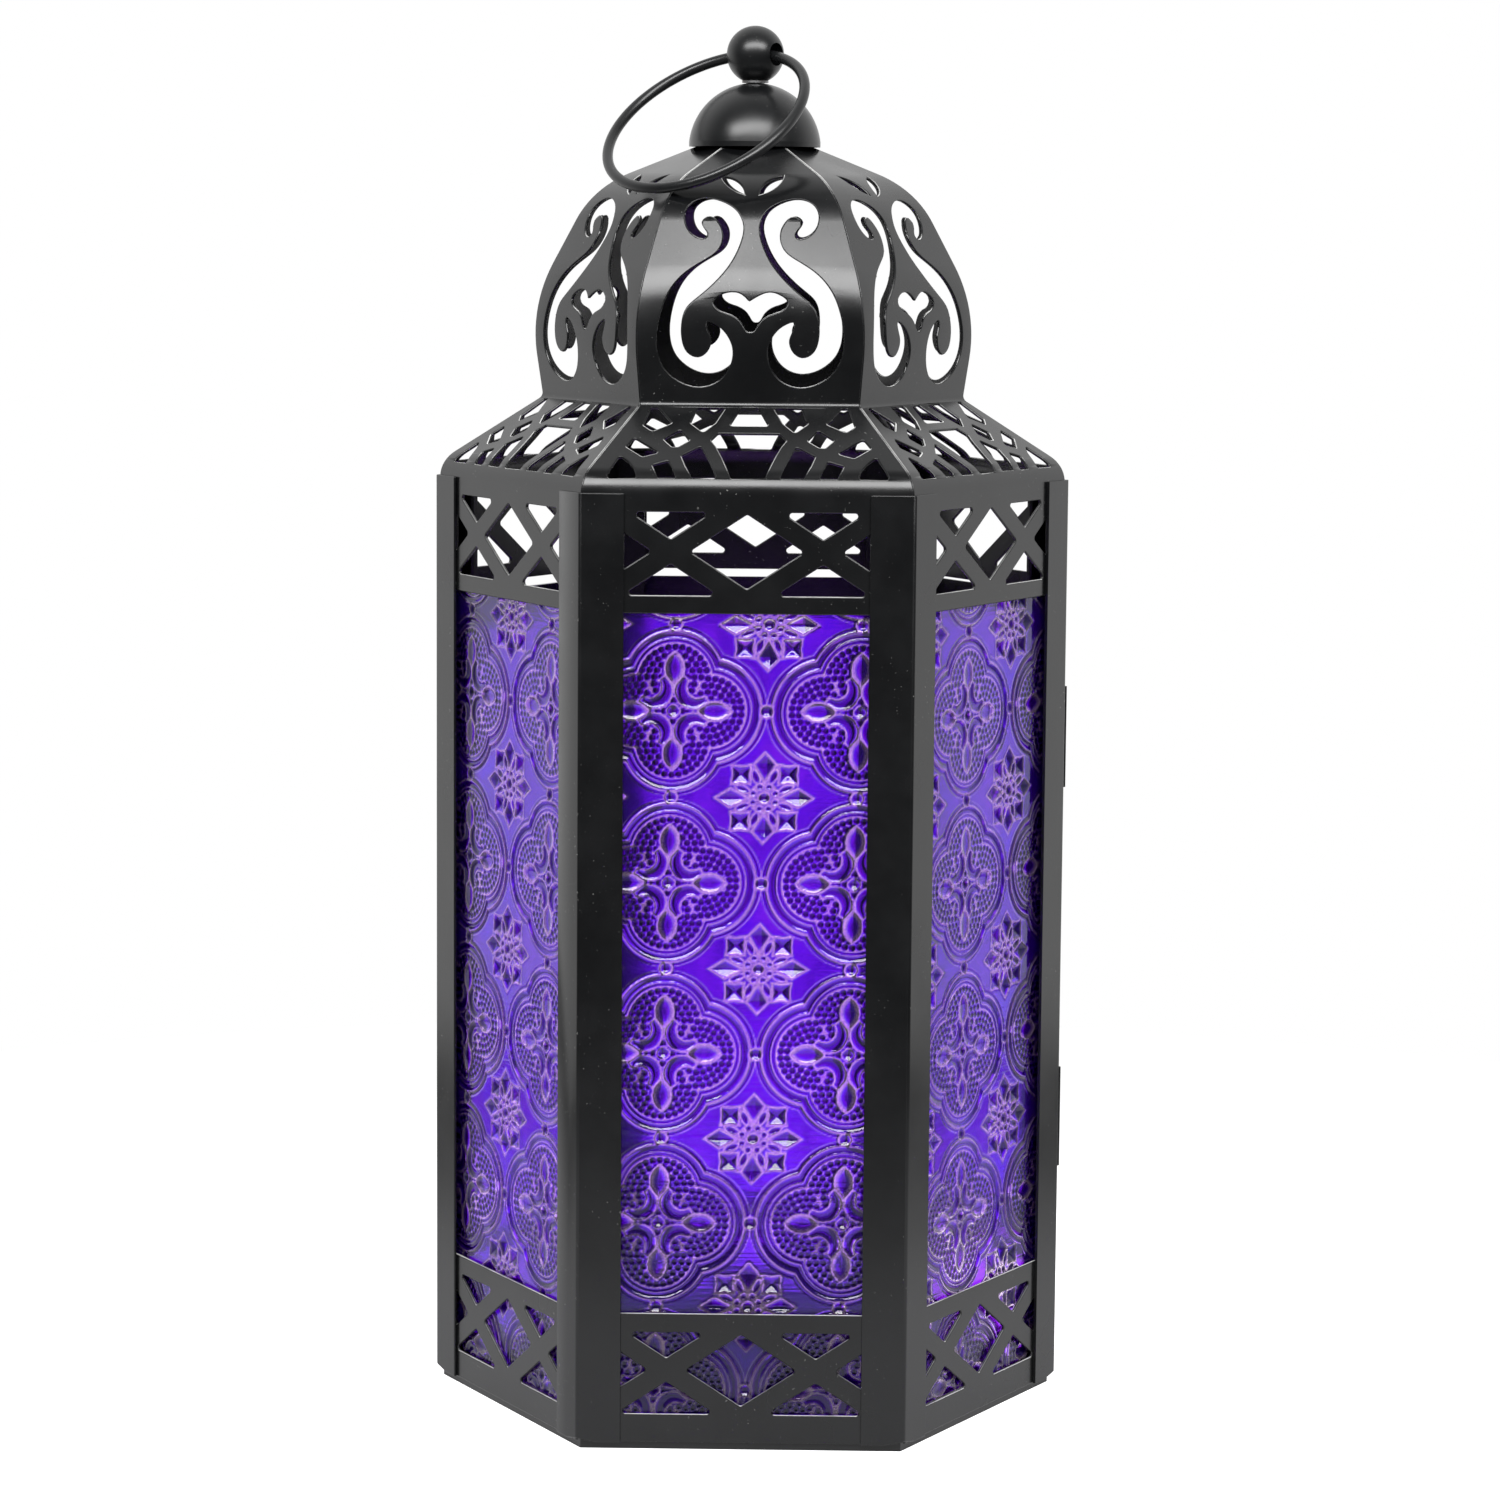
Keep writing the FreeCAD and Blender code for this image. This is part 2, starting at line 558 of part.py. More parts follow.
def door_knob():
    shank = cross_rod(KNOB_U, KNOB_Z, FRAME_S - 0.3, POST_S + 4, 1.0)
    inner = cross_rod(KNOB_U, KNOB_Z, FRAME_S - 0.55, FRAME_S - 0.01, 1.35)
    collar = cross_rod(KNOB_U, KNOB_Z, POST_S + 0.01, POST_S + 0.9, 2.4)
    neck = cross_rod(KNOB_U, KNOB_Z, POST_S + 0.5, POST_S + 4, 1.4)
    ball = Part.makeSphere(3.3, Vec(KNOB_U, -(POST_S + 5.6), KNOB_Z))
    return fuse([shank, inner, collar, neck, ball])


def catch_plates():
    """Spring plates on the post, behind the door's free edge: they stop and grip it."""
    outer = POST_S - SHEET - 0.01
    plates = []
    for z in CATCH_Z:
        plate = block(23.2, 32.6, outer - 0.45, outer, z - 4, z + 4)
        places = [(CATCH_U, z - 2.0), (CATCH_U, z + 2.0)]
        plates.append(plate.cut(holes(places, outer - 1, outer + 1, RIVET_R + 0.02)))
    return Part.makeCompound(plates)


def drilled_post(corner):
    """The posts beside the door are drilled for the hinge and catch rivets."""
    post = corner_post()
    post.rotate(Vec(0, 0, 0), Vec(0, 0, 1), 360.0 / SIDES * corner)
    places = []
    if corner == 0:
        places = hinge_rivet_places(POST_RIVET_U)
    if corner == 1:
        places = catch_rivet_places()
    if not places:
        return post
    cutters = holes(places, POST_S - 2, POST_S + 2, RIVET_R + 0.02)
    return post.cut([on_side(c, DOOR_SIDE) for c in cutters])


# ---- assembly -----------------------------------------------------------------------------
parts = {
    "base_tray": base_tray(),
    "candle_cup": candle_cup(),
    "cup_rivets": cup_rivets(),
    "roof_cap": roof_cap(),
    "finial_ball": finial_ball(),
    "finial_stem": finial_stem(),
    "roof_washer": roof_washer(),
    "stem_nut": stem_nut(),
    "ring_handle": ring_handle(),
}

for corner in range(SIDES):
    retainer = pane_retainer()
    retainer.rotate(Vec(0, 0, 0), Vec(0, 0, 1), 360.0 / SIDES * corner)
    parts["corner_post_%d" % (corner + 1)] = drilled_post(corner)
    parts["pane_retainer_%d" % (corner + 1)] = retainer

petal = roof_petal()
panel = lower_lattice()
for side in range(SIDES):
    parts["roof_petal_%d" % (side + 1)] = on_side(petal, side)
    parts["lower_lattice_%d" % (side + 1)] = on_side(panel, side)
    if side in PANE_TOPS:
        parts["glass_pane_%d" % (side + 1)] = on_side(glass_pane(PANE_TOPS[side]), side)

door_parts = {
    "door_frame": door_frame(),
    "door_glass": door_glass(),
    "door_glass_clips": door_clips(),
    "door_knob": door_knob(),
    "lower_door_leaf": door_leaf(HINGE_Z[0]),
    "upper_door_leaf": door_leaf(HINGE_Z[1]),
    "door_leaf_rivets": rivets(hinge_rivet_places(DOOR_RIVET_U), FRAME_S, LEAF_S[1]),
    "lower_post_leaf": post_leaf(HINGE_Z[0]),
    "upper_post_leaf": post_leaf(HINGE_Z[1]),
    "post_leaf_rivets": rivets(hinge_rivet_places(POST_RIVET_U), POST_S - SHEET, LEAF_S[1]),
    "hinge_pins": hinge_pins(),
    "door_catch_plates": catch_plates(),
    "catch_rivets": rivets(catch_rivet_places(), POST_S - SHEET - 0.46, POST_S),
}
for name, shape in door_parts.items():
    parts[name] = on_side(shape, DOOR_SIDE)

for name, shape in parts.items():
    if not shape.isValid():
        print("invalid:", name)
    shape.exportStep("parts/%s.step" % name)
    print(name, len(shape.Solids), round(shape.Volume, 1))
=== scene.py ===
import json
import math

import bpy
import numpy as np
from mathutils import Euler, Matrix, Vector


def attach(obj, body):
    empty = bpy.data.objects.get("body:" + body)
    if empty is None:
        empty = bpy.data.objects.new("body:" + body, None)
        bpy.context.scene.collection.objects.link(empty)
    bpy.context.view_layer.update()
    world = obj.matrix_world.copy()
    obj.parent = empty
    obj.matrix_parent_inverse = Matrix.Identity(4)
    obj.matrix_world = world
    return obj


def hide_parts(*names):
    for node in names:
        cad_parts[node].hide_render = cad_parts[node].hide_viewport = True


# Looks of the hexagonal pierced-metal lantern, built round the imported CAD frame.  The scene is in
# metres; lengths in this script are in millimetres unless a comment says otherwise.
MM = 0.001

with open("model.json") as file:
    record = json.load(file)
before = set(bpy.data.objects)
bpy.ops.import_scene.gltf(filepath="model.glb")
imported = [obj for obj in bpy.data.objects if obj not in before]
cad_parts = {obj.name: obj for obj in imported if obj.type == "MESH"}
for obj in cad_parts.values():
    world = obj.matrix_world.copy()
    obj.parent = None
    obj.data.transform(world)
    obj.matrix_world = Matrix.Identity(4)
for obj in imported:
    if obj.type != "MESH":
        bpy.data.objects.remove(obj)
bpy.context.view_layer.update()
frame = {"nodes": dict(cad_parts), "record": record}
NODES = frame["nodes"]


# ---- node-tree helpers --------------------------------------------------------------------
class NodeTree:
    """Short calls that add nodes to a tree and wire them."""

    def __init__(self, tree):
        self.tree = tree
        self.tree.nodes.clear()

    def new(self, kind):
        return self.tree.nodes.new("ShaderNode" + kind)

    def link(self, source, target):
        self.tree.links.new(source, target)

    def feed(self, value, socket):
        """Set a socket from a number, a colour or another node's output."""
        if isinstance(value, bpy.types.NodeSocket):
            self.link(value, socket)
        elif isinstance(value, tuple) and len(value) == 3 and socket.type == "RGBA":
            socket.default_value = (*value, 1.0)
        else:
            socket.default_value = value

    def ramp(self, value, low, high, to_low=0.0, to_high=1.0, smooth=True):
        """Map low..high of a value to to_low..to_high, held constant outside."""
        node = self.new("MapRange")
        if smooth:
            node.interpolation_type = "SMOOTHSTEP"
        self.link(value, node.inputs["Value"])
        node.inputs["From Min"].default_value = low
        node.inputs["From Max"].default_value = high
        node.inputs["To Min"].default_value = to_low
        node.inputs["To Max"].default_value = to_high
        return node.outputs["Result"]

    def math(self, operation, a, b):
        node = self.new("Math")
        node.operation = operation
        self.feed(a, node.inputs[0])
        self.feed(b, node.inputs[1])
        return node.outputs[0]

    def axis(self, vector, name):
        node = self.new("SeparateXYZ")
        self.link(vector, node.inputs[0])
        return node.outputs[name]


class Shader(NodeTree):
    """A material under construction, with one principled shader."""

    def __init__(self, name):
        self.material = bpy.data.materials.new(name)
        self.material.use_nodes = True
        super().__init__(self.material.node_tree)
        self.principled = self.new("BsdfPrincipled")
        self.link(self.principled.outputs[0], self.new("OutputMaterial").inputs["Surface"])
        self.place = self.new("TexCoord").outputs["Object"]

    def set(self, **values):
        for name, value in values.items():
            self.feed(value, self.principled.inputs[name.replace("_", " ")])

    def stretched(self, scale):
        """Object coordinates scaled along x, y and z."""
        node = self.new("Mapping")
        self.link(self.place, node.inputs["Vector"])
        node.inputs["Scale"].default_value = scale
        return node.outputs[0]

    def noise(self, scale, detail=3.0, roughness=0.5, vector=None):
        """Noise of about scale cells to the metre."""
        node = self.new("TexNoise")
        self.link(vector or self.place, node.inputs["Vector"])
        node.inputs["Scale"].default_value = scale
        node.inputs["Detail"].default_value = detail
        node.inputs["Roughness"].default_value = roughness
        return node.outputs["Fac"]

    def upward(self):
        """How far the surface faces up, from -1 to 1."""
        return self.axis(self.new("NewGeometry").outputs["True Normal"], "Z")

    def attribute(self, name):
        node = self.new("Attribute")
        node.attribute_name = name
        return node.outputs["Fac"]

    def mix(self, factor, a, b):
        node = self.new("Mix")
        node.data_type = "RGBA"
        self.feed(factor, node.inputs["Factor"])
        self.feed(a, node.inputs[6])
        self.feed(b, node.inputs[7])
        return node.outputs[2]

    def bump(self, height, distance, strength=1.0, below=None):
        """Bump of a height pattern, on top of another bump where there is one below."""
        node = self.new("Bump")
        node.inputs["Strength"].default_value = strength
        node.inputs["Distance"].default_value = distance * MM
        self.link(height, node.inputs["Height"])
        if below is not None:
            self.link(below, node.inputs["Normal"])
        return node.outputs[0]


# ---- materials ----------------------------------------------------------------------------
DUST = (0.24, 0.24, 0.23)
# dark edge paint, and a bright metal colour that is a painted highlight on up-facing edges, in patches
# like wear
RUBBED_PAINT, HIGHLIGHT_AND_BARE_METAL = (0.004, 0.0043, 0.0048), (0.66, 0.66, 0.65)
BLACKENED, BROWNED = (0.24, 0.24, 0.245), (0.12, 0.095, 0.08)
VIOLET_DARK, VIOLET_LIGHT = (0.076, 0.0003, 0.88), (0.106, 0.0005, 0.94)
# the near-black strip along the top of two panes, and painted shade in the hollows
BLACK_GLASS, HOLLOW_GLASS = (0.0004, 0.0001, 0.0030), (0.010, 0.0, 0.080)
# painted highlights: lilac on the ridges, near-white on the rims
RIDGE_GLASS, RIM_HIGHLIGHT_GLASS = (0.98, 0.62, 1.0), (1.0, 0.92, 1.0)


def powder_coat(name, dark, light, roughness, orange_peel):
    """Satin black paint: faint mottling, dust, fine orange peel and slow waviness of the sheet."""
    s = Shader(name)
    mottle = s.ramp(s.noise(90.0, 4.0, 0.6), 0.3, 0.7)
    specks = s.ramp(s.noise(1500.0, 2.0), 0.70, 0.74)
    dusty = s.ramp(s.noise(60.0), 0.45, 0.70, 0.0, 0.6)
    s.set(Base_Color=s.mix(s.math("MULTIPLY", specks, dusty), s.mix(mottle, dark, light), DUST))
    handled = s.noise(45.0, 3.0, 0.55)
    s.set(Roughness=s.ramp(handled, 0.25, 0.75, roughness - 0.05, roughness + 0.07))
    peel = s.bump(s.noise(2600.0, 2.0), orange_peel)
    s.set(Normal=s.bump(s.noise(28.0, 1.0), 0.30, 0.6, below=peel), IOR=1.5)
    return s.material


def edge_wear_and_highlight(name):
    """Rounded edges of the painted sheets: a painted highlight where they face up towards the light, in
    patches like rubbed paint.
    """
    s = Shader(name)
    # painted highlight: edges facing up towards the light turn bright
    lit_from_above = s.ramp(s.upward(), 0.68, 0.96)
    patchy = s.ramp(s.noise(110.0), 0.35, 0.55, 0.55, 1.0)
    s.set(Base_Color=s.mix(s.math("MULTIPLY", lit_from_above, patchy), RUBBED_PAINT, HIGHLIGHT_AND_BARE_METAL))
    s.set(Roughness=s.ramp(s.noise(300.0), 0.3, 0.7, 0.22, 0.34))
    return s.material


def dull_steel(name):
    """Blackened steel of rivets, pins and clips: brushed one way, a little brown in places."""
    s = Shader(name)
    brushed = s.noise(900.0, 3.0, 0.6, s.stretched((1.0, 1.0, 0.06)))
    s.set(Base_Color=s.mix(s.ramp(s.noise(220.0), 0.45, 0.7), BLACKENED, BROWNED))
    s.set(Roughness=s.ramp(brushed, 0.3, 0.7, 0.3, 0.48))
    s.set(Normal=s.bump(brushed, 0.02), Metallic=0.9)
    return s.material


def violet_glass(name):
    """Pressed glass, paler along its ridges and rims as painted highlights and darker in its hollows as
    painted shade, its flat inner face a little frosted.
    """
    s = Shader(name)
    ripple = s.noise(55.0, 2.0)
    striae = s.noise(700.0, 2.0, 0.5, s.stretched((0.10, 0.10, 1.0)))
    s.set(Normal=s.bump(striae, 0.08, below=s.bump(ripple, 0.25)))
    pale = s.attribute("pale")
    plain = s.mix(s.ramp(s.noise(35.0), 0.3, 0.7), VIOLET_DARK, VIOLET_LIGHT)
    deep = s.mix(s.ramp(pale, -1.0, 0.0), BLACK_GLASS, HOLLOW_GLASS)
    # painted shade: hollows go from deep violet to near-black
    shade_and_strip_colour = s.mix(s.ramp(pale, 0.0, 0.5), deep, plain)
    # painted highlight: ridges lilac, rims near-white
    ridge = s.mix(s.ramp(pale, 0.90, 0.98), RIDGE_GLASS, RIM_HIGHLIGHT_GLASS)
    s.set(Base_Color=s.mix(s.ramp(pale, 0.5, 0.98), shade_and_strip_colour, ridge))
    polish = s.ramp(s.noise(400.0), 0.3, 0.7, 0.02, 0.06)
    frosting = s.math("MULTIPLY", s.attribute("inner"), 0.12)
    s.set(Roughness=s.math("ADD", polish, frosting), Transmission_Weight=0.96, IOR=1.5)
    return s.material


STEEL = powder_coat("black_powder_coat", (0.0030, 0.0032, 0.0036), (0.0050, 0.0053, 0.0058),
                    roughness=0.22, orange_peel=0.004)
FITTING = powder_coat("black_enamel", (0.0040, 0.0043, 0.0048), (0.0060, 0.0064, 0.0070),
                      roughness=0.31, orange_peel=0.002)
WIRE = powder_coat("black_wire_coat", (0.0060, 0.0064, 0.0070), (0.0090, 0.0095, 0.0100),
                   roughness=0.30, orange_peel=0.0005)
EDGE = edge_wear_and_highlight("sheet_edge_wear_and_highlight")
FASTENER = dull_steel("blackened_steel")
GLASS = violet_glass("violet_pressed_glass")

BY_SLOT = {"black_steel": STEEL, "black_fitting": FITTING, "black_wire": WIRE,
           "steel_fastener": FASTENER, "violet_glass": GLASS}
for subpart in frame["record"]["subparts"]:
    mesh = NODES[subpart["node"]].data
    mesh.materials.clear()
    mesh.materials.append(BY_SLOT[subpart["material_slot"]])


# ---- rounded sheet edges ------------------------------------------------------------------
WELD_GAP = 0.002
SHARP_ANGLE = math.radians(35.0)   # edges sharper than this are rounded
ROOF_FLAT, PANEL_FLAT = math.radians(0.5), math.radians(1.0)   # facets within this merge first


def soften_edges(node, width, curved, wear_and_highlight):
    """Round the cut and folded edges of a painted sheet so that they catch the light."""
    weld = NODES[node].modifiers.new("weld", "WELD")
    weld.merge_threshold = WELD_GAP * MM
    merge = NODES[node].modifiers.new("merge", "DECIMATE")
    merge.decimate_type = "DISSOLVE"
    merge.angle_limit = ROOF_FLAT if curved else PANEL_FLAT
    bevel = NODES[node].modifiers.new("bevel", "BEVEL")
    bevel.width = width * MM
    bevel.segments = 2
    bevel.limit_method = "ANGLE"
    bevel.angle_limit = SHARP_ANGLE
    bevel.loop_slide = False
    bevel.harden_normals = not curved
    # rounded edges get the material with the painted highlight and patchy wear
    if wear_and_highlight:
        NODES[node].data.materials.append(EDGE)
        bevel.material = 1
        bevel.use_clamp_overlap = False
    if curved:
        NODES[node].modifiers.new("normals", "WEIGHTED_NORMAL")


for number in range(1, 7):
    soften_edges("roof_petal_%d" % number, 0.30, curved=True, wear_and_highlight=True)
    soften_edges("corner_post_%d" % number, 0.25, curved=False, wear_and_highlight=False)
    soften_edges("lower_lattice_%d" % number, 0.25, curved=False, wear_and_highlight=True)


# ---- figured glass ------------------------------------------------------------------------
# In the plane of a pane u runs sideways and z up; x and y are the same from a motif's centre.
# The level of the outer face runs from 0, the deepest hollow, to 1, the highest ridge.
CELL_U, CELL_Z = 39.0, 36.4        # repeat of the pattern
LEAN = 0.024                       # sideways drift of the pattern with height on the front pane
RELIEF = 1.30                      # deepest hollow to highest ridge
STEP = 0.32                        # grid spacing of the figured face
WINDOW_HALF = 26.4                 # half width of the part of a pane that can be seen
EDGE_FADE = 0.6                    # the relief fades out this near a pane's edges
LOBE_SIDE = (7.4, 7.5)             # centre distance and radius of the left and right lobes
LOBE_END = (6.4, 7.7)              # the same for the upper and lower lobes
END_SQUEEZE = 1.25                 # rings are narrower over the upper and lower lobes
FIELD, GROUND = 0.80, 0.80         # levels of the dimpled field and of the ground round the flowers
MOTIF_TOP = 0.88                   # level of the land round a sunk motif
# a motif's pale rim is a painted highlight
RIM_TONE, GROUND_TONE = 0.97, 0.50   # paleness of a motif's rim and of the ground
OUTER_RING = 4.9                   # where the rings round a quatrefoil give way to the ground
RING_ROUNDING = 0.1                # softening of the rings' corners
KNOT = 1.3                         # radius of the knots where quatrefoils meet

# distance outside the lobes, level, paleness: ridges pale as painted highlights, hollows deep violet as
# painted shade
RINGS = [(-0.5, FIELD, 0.90), (0.25, 0.84, 0.95), (0.50, 0.84, 0.95), (0.70, 0.68, 0.10),
         (0.95, 0.64, 0.00), (1.20, 0.94, 0.90), (1.60, 0.79, 0.70), (1.95, 0.64, 0.20),
         (2.25, 0.62, 0.08), (2.60, 0.74, 0.20), (3.30, 1.00, 0.80), (3.45, 1.00, 0.90),
         (3.95, 0.78, 0.70), (4.10, 0.70, 0.00), (4.35, 0.70, 0.00), (4.62, 0.84, 0.95),
         (OUTER_RING, GROUND, GROUND_TONE)]

DIMPLE_PITCH, DIMPLE_ROW = 1.48, 1.40   # spacing along a row and of the rows
DIMPLE_INSET = 0.65                # outermost row to the lobe's outline
DIMPLE_LEAST_ROW = 2.0             # radius below which no more rows fit
DIMPLE_GAP = 1.15                  # least distance between two centres
DIMPLE_RADIUS, DIMPLE_DEPTH = 0.66, 0.17
# painted shade: a dark spot in the middle of each dimple
DIMPLE_SHADE, SHADE_FADE = 0.84, 0.3   # radius of the dark spot and width of its soft edge

HOOK_BACK = (4.15, 4.2, 3.85)      # centre and radius of a hook's convex outline
HOOK_BELLY = (4.95, 5.05, 2.3)     # the same for its concave outline
HOOK_CUT = 6.75                    # distance of its open ends' line from the centre, on the diagonal
SIDE_ALMOND = (8.7, 3.5, 2.0)      # centre distance, half length and half width
END_ALMOND = (9.0, 3.4, 1.95)
BUD, BUD_POWER = 1.5, 1.4          # half width and roundness of the diamond in the centre

RAY_KNEE = 7.1                     # distance at which a flower's four long rays are widest
RAY_ROOT = 4.0                     # length of a ray from its widest point inwards
RAY_SCALE = 1.55
SIDE_RAY, END_RAY = (3.3, 2.1), (2.6, 2.4)   # length beyond the knee, half width
PYRAMID_CENTRE, PYRAMID_HALF = 4.95, 2.1     # the four pinched pyramids between the rays
PINCH = 0.30
FLOWER_DISC = 3.2
PETAL = (4.85, 1.7, 0.66)          # centre distance, half length and half width of small petals
SEED = (2.5, 0.62)                 # centre distance and radius of the ring of seeds
BOSS = 1.15                        # radius of the flower's centre


def along_rings(d, column):
    """Level (1) or paleness (2) at a distance outside the lobes, corners a little rounded."""
    xs = [k[0] for k in RINGS]
    ys = [k[column] for k in RINGS]
    return (np.interp(d - RING_ROUNDING, xs, ys) + np.interp(d, xs, ys)
            + np.interp(d + RING_ROUNDING, xs, ys)) / 3.0


def almond_inside(along, across, half_length, half_width):
    """Depth inside a pointed oval made of two arcs."""
    radius = (half_length ** 2 + half_width ** 2) / (2.0 * half_width)
    return radius - np.hypot(along, np.abs(across) + radius - half_width)


def lobes(x, y, hypot):
    """Distances outside the side lobe and the end lobe of one quarter of a quatrefoil."""
    return hypot(x - LOBE_SIDE[0], y) - LOBE_SIDE[1], hypot(x, y - LOBE_END[0]) - LOBE_END[1]


def sink(surface, inside, half_width, depth, core, bowl=True, rim=0.5, spread=0.45):
    """Sink a motif into (level, paleness), given the depth inside its outline: a pale rim round the
    outline as a painted highlight, a bowl or facets within, and the paleness of the core, dark as painted
    shade in most motifs."""
    level, pale = surface
    t = np.clip(inside / half_width, 0.0, 1.0)
    drop = depth * (t * (2.0 - t) if bowl else t)
    land = np.clip((inside + rim) / 0.25, 0.0, 1.0)
    shade = np.clip((inside - 0.05) / (spread * half_width), 0.0, 1.0)
    tone = RIM_TONE + (core - RIM_TONE) * shade
    return level * (1.0 - land) + (MOTIF_TOP - drop) * land, pale * (1.0 - land) + tone * land


def dimple_centres():
    """Centres of the small dimples that fill a quatrefoil, in one quarter, rows following its lobes."""
    dimples = []
    for axis, (centre, radius) in ((0, LOBE_SIDE), (1, LOBE_END)):
        row = radius - DIMPLE_INSET
        while row > DIMPLE_LEAST_ROW:
            count = max(6, round(2 * math.pi * row / DIMPLE_PITCH))
            for k in range(count):
                angle = 2 * math.pi * (k + 0.5) / count
                x = row * math.cos(angle)
                y = row * math.sin(angle)
                x, y = (x + centre, y) if axis == 0 else (x, y + centre)
                side, end = lobes(x, y, math.hypot)
                mine, other = (side, end) if axis == 0 else (end, side)
                clear = all(math.hypot(x - bx, y - by) > DIMPLE_GAP for bx, by in dimples)
                if x > -0.1 and y > -0.1 and mine <= other + 0.3 and clear:
                    dimples.append((x, y))
            row -= DIMPLE_ROW
    return dimples


DIMPLES = dimple_centres()


def quatrefoil(x, y):
    """Level and paleness of the ringed quatrefoil, and the distance outside its lobes."""
    x, y = np.abs(x), np.abs(y)
    side, end = lobes(x, y, np.hypot)
    out = np.minimum(side, np.where(end > 0, end * END_SQUEEZE, end))
    level, pale = along_rings(out, 1), along_rings(out, 2)
    nearest = np.full_like(x, np.inf)
    for bx, by in DIMPLES:
        nearest = np.minimum(nearest, np.hypot(x - bx, y - by))
    dimple = 0.5 + 0.5 * np.cos(np.pi * np.clip(nearest / DIMPLE_RADIUS, 0.0, 1.0))
    level = level - DIMPLE_DEPTH * dimple
    # painted shade: each dimple's middle is coloured dark
    pale = pale - 0.95 * np.clip((DIMPLE_SHADE - nearest) / SHADE_FADE, 0.0, 1.0)

    back = HOOK_BACK[2] - np.hypot(x - HOOK_BACK[0], y - HOOK_BACK[1])
    belly = np.hypot(x - HOOK_BELLY[0], y - HOOK_BELLY[1]) - HOOK_BELLY[2]
    hook = np.minimum(np.minimum(back, belly), HOOK_CUT - (x + y) / math.sqrt(2.0))
    side_almond = almond_inside(x - SIDE_ALMOND[0], y, *SIDE_ALMOND[1:])
    end_almond = almond_inside(y - END_ALMOND[0], x, *END_ALMOND[1:])
    bud = BUD - (x ** BUD_POWER + y ** BUD_POWER) ** (1 / BUD_POWER)
    surface = sink((level, pale), hook, half_width=1.36, depth=0.34, core=0.18, rim=0.36)
    surface = sink(surface, side_almond, SIDE_ALMOND[2], depth=0.46, core=0.30, spread=0.7)
    surface = sink(surface, end_almond, END_ALMOND[2], depth=0.22, core=0.05, spread=1.0)
    surface = sink(surface, bud, half_width=1.4, depth=0.55, core=0.10, bowl=False, rim=0.35)
    return surface, out


def flower(x, y):
    """Level and paleness of the star flower between the quatrefoils."""
    fx, fy = np.abs(x), np.abs(y)
    surface = (np.full_like(x, GROUND), np.full_like(x, GROUND_TONE))
    for along, across, (beyond, half_width) in ((fx, fy, SIDE_RAY), (fy, fx, END_RAY)):
        reach = np.where(along > RAY_KNEE, (along - RAY_KNEE) / beyond, (RAY_KNEE - along) / RAY_ROOT)
        ray = (1.0 - reach - across / half_width) * RAY_SCALE
        surface = sink(surface, ray, RAY_SCALE, depth=0.74, core=0.22, bowl=False, rim=0.3)

    px, py = np.abs(fx - PYRAMID_CENTRE), np.abs(fy - PYRAMID_CENTRE)
    pyramid = PYRAMID_HALF - (np.maximum(px, py) + PINCH * (1.0 - np.minimum(px, py) / 2.0))
    surface = sink(surface, pyramid, half_width=1.8, depth=0.80, core=0.22, bowl=False, rim=0.3)

    turn = np.mod(np.arctan2(y, x), math.pi / 4) - math.pi / 8
    reach = np.hypot(x, y)
    along, across = reach * np.cos(turn), reach * np.sin(turn)
    petal = almond_inside(along - PETAL[0], across, *PETAL[1:])
    seed = SEED[1] - np.hypot(along - SEED[0], across)
    surface = sink(surface, FLOWER_DISC - reach, half_width=2.4, depth=0.0, core=0.68, rim=0.2)
    surface = sink(surface, petal, PETAL[2], depth=0.28, core=0.10, rim=0.38)
    surface = sink(surface, seed, SEED[1], depth=0.30, core=0.05, rim=0.28)
    return sink(surface, BOSS - reach, BOSS, depth=0.50, core=0.08, rim=0.35)


def relief(u, z, centre_u, centre_z, lean):
    """Level and paleness of the pressed pattern at side coordinates u, z."""
    v = z - centre_z
    w = u - centre_u - lean * v
    x = np.mod(w + CELL_U / 2, CELL_U) - CELL_U / 2
    y = np.mod(v + CELL_Z / 2, CELL_Z) - CELL_Z / 2
    figure, out = quatrefoil(x, y)
    ground = flower(np.mod(w, CELL_U) - CELL_U / 2, np.mod(v, CELL_Z) - CELL_Z / 2)
    surface = tuple(np.where(out > OUTER_RING, g, f) for g, f in zip(ground, figure))
    for kx, ky in ((CELL_U / 2, 0.0), (0.0, CELL_Z / 2)):
        knot = KNOT - np.hypot(np.abs(x) - kx, np.abs(y) - ky)
        surface = sink(surface, knot, KNOT, depth=0.50, core=0.15, rim=0.4)
    return surface


def turned(points, side):
    """Points about the lantern's axis, carried from the front round to a side; -side brings them back."""
    angle = math.radians(60.0 * side)
    c, s = math.cos(angle), math.sin(angle)
    result = points.copy()
    result[:, 0] = points[:, 0] * c - points[:, 1] * s
    result[:, 1] = points[:, 0] * s + points[:, 1] * c
    return result


def side_extent(node, side):
    """Least and greatest u, distance from the axis and z of a CAD node on a side."""
    points = np.array([v.co for v in NODES[node].data.vertices], float) / MM
    u, y, z = turned(points, -side).T
    return u.min(), u.max(), -y.max(), -y.min(), z.min(), z.max()


def grid_lines(half, fine_half):
    """Positions over -half..half: fine inside +-fine_half, a few wide steps outside."""
    count = int(round(2 * fine_half / STEP))
    fine = np.linspace(-fine_half, fine_half, count + 1)
    if half <= fine_half + 0.01:
        return fine
    wide = np.linspace(fine_half, half, 4)[1:]
    return np.concatenate([-wide[::-1], fine, wide])


def inner_loops(count, columns, clear):
    """Corner loops of the flat inner face, whose corners are numbered round the rim from the
    bottom left: one loop, or, when only the rows up to clear are outside the near-black strip, three."""
    if clear is None:
        return [list(range(count))]
    right = columns - 1 + clear
    left = count - clear
    return [list(range(right + 1)) + list(range(left, count)),
            [right, right + 1, left - 1, left],
            list(range(right + 1, left))]


